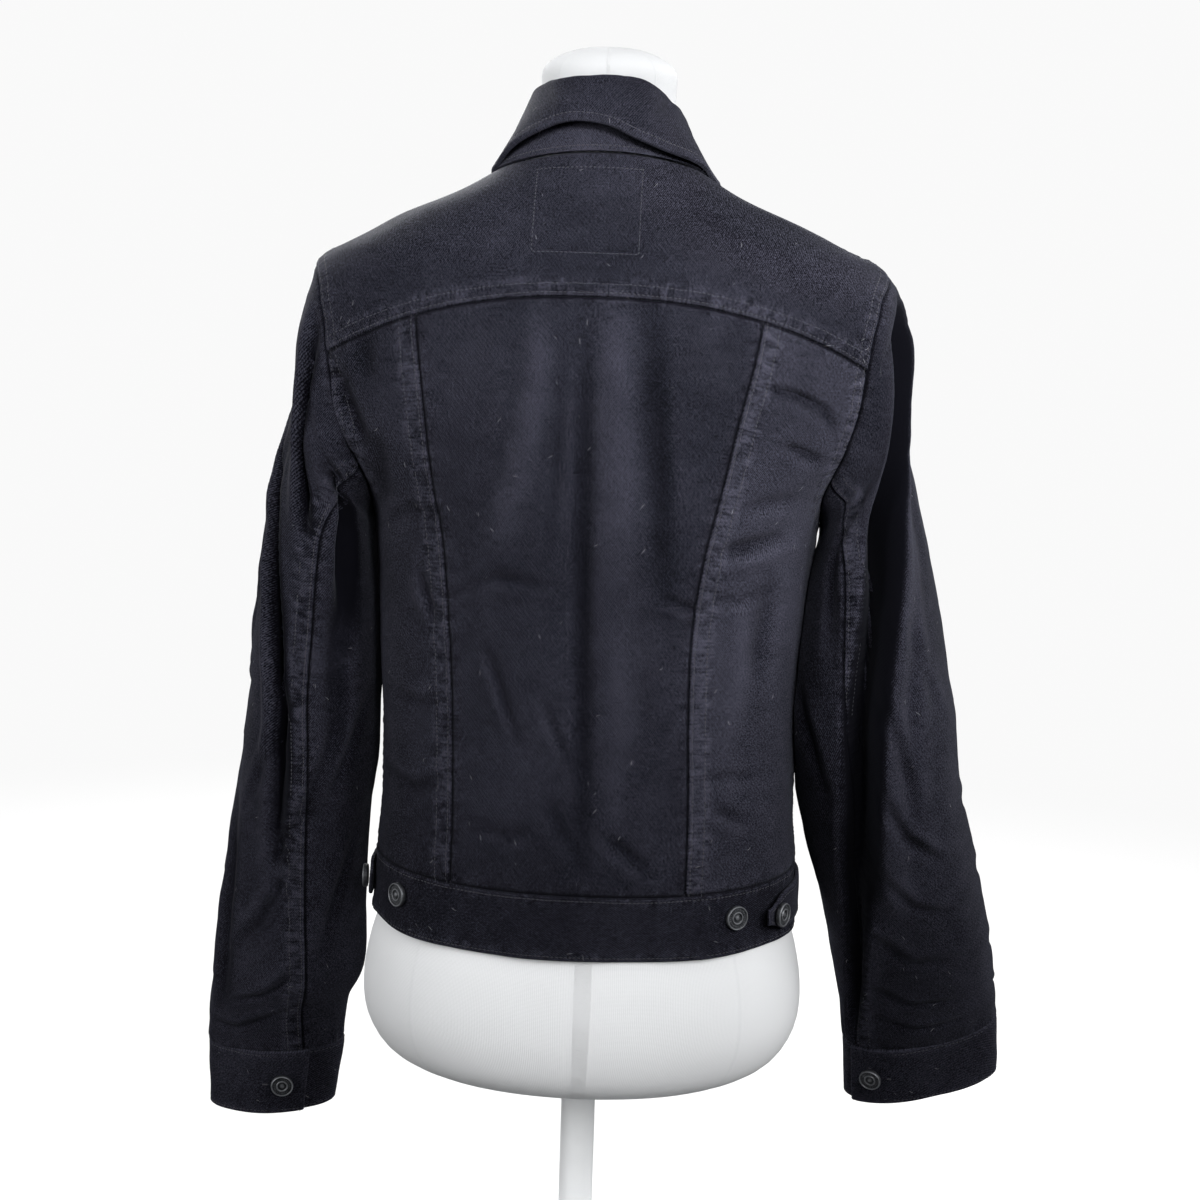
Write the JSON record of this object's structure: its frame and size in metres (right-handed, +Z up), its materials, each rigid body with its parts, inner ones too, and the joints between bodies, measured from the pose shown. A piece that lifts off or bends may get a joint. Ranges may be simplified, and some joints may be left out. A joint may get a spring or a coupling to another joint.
{
  "type": "denim jacket on a dress form",
  "caption": "Waist-length black denim jacket with collar, yoke, waistband tabs and buttoned cuffs, worn on a white limbless dress form on a round stand.",
  "frame": {"origin": "centre of the stand base's underside, on the surface that the stand rests on", "axes": "+Z up; the jacket's front faces -Y; the wearer's left is +X"},
  "size_m": [0.6094, 0.25, 0.914],
  "materials": {
    "denim": "matt black cotton twill with tone-on-tone topstitching",
    "button_metal": "satin gunmetal shank buttons",
    "form_jersey": "white fine jersey cover",
    "stand_paint": "white satin paint"
  },
  "bodies": {
    "root": {"back_yoke": "denim", "back_centre": "denim", "back_side_left": "denim", "back_side_right": "denim", "front_left": "denim", "front_right": "denim", "front_placket_left": "denim", "front_placket_right": "denim", "waistband": "denim", "waist_tab_left": "denim", "waist_tab_right": "denim", "tab_button_left": "button_metal", "tab_button_right": "button_metal", "waist_button_left": "button_metal", "waist_button_right": "button_metal", "collar": "denim", "top_sleeve_left": "denim", "top_sleeve_right": "denim", "under_sleeve_left": "denim", "under_sleeve_right": "denim", "cuff_left": "denim", "cuff_right": "denim", "cuff_button_left": "button_metal", "cuff_button_right": "button_metal", "front_button_1": "button_metal", "front_button_2": "button_metal", "front_button_3": "button_metal", "front_button_4": "button_metal", "front_button_5": "button_metal", "front_button_6": "button_metal", "form_body": "form_jersey", "stand_pole": "stand_paint", "stand_base": "stand_paint"}
  },
  "joints": []
}
